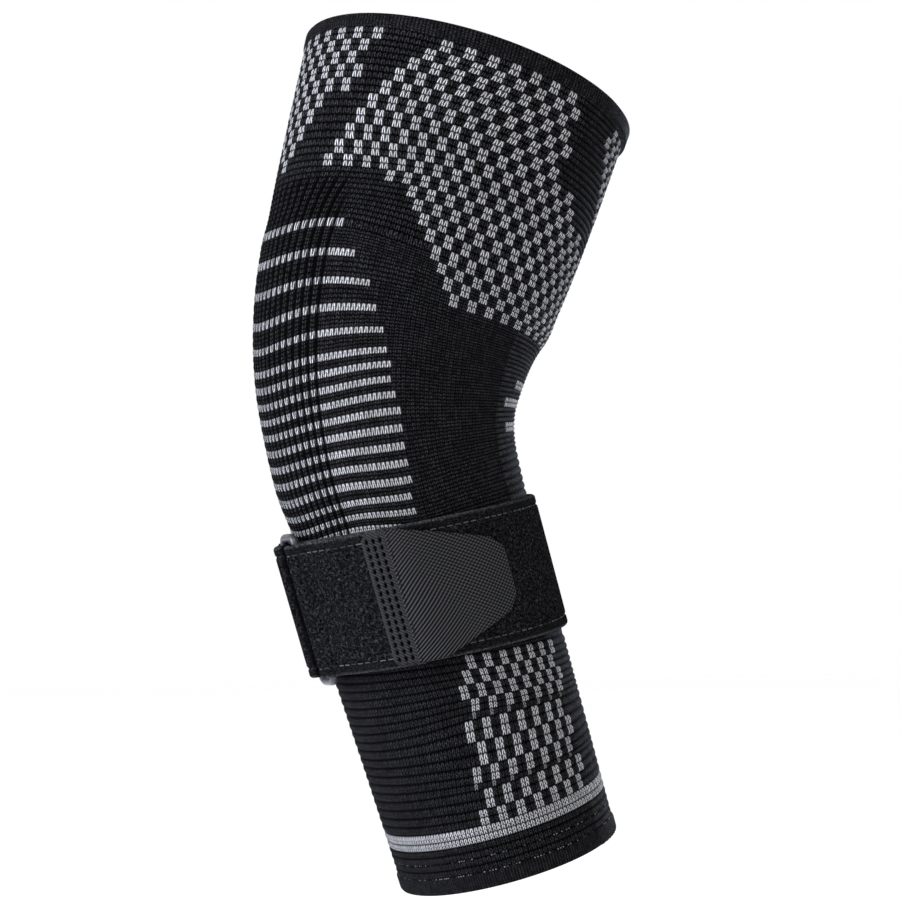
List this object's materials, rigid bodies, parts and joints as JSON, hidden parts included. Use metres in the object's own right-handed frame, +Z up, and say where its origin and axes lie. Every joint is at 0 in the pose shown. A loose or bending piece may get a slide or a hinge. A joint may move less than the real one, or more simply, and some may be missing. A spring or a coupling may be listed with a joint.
{
  "type": "elbow brace",
  "caption": "Knitted elbow sleeve in worn form, open at both ends, with a padded ribbed back and a forearm strap closed by a wire ring and a hook tab.",
  "frame": {"origin": "centre of the wearer's elbow, on the axis of the arm inside the sleeve", "axes": "+Z up, from the forearm's end to the upper arm's end; the point of the elbow faces -X and the crook +X; the strap's hook tab lies on the -Y side"},
  "size_m": [0.1141, 0.1016, 0.2577],
  "materials": {
    "sleeve_knit": "matt elastic knit with light grey stitches",
    "strap_pile": "fuzzy loop pile",
    "ring_lacquer": "gloss dark lacquer",
    "tab_plastic": "satin, embossed with fine slanted lines"
  },
  "bodies": {
    "root": {"knit_sleeve": "sleeve_knit", "strap": "strap_pile", "ring_buckle": "ring_lacquer", "hook_tab": "tab_plastic"}
  },
  "joints": []
}
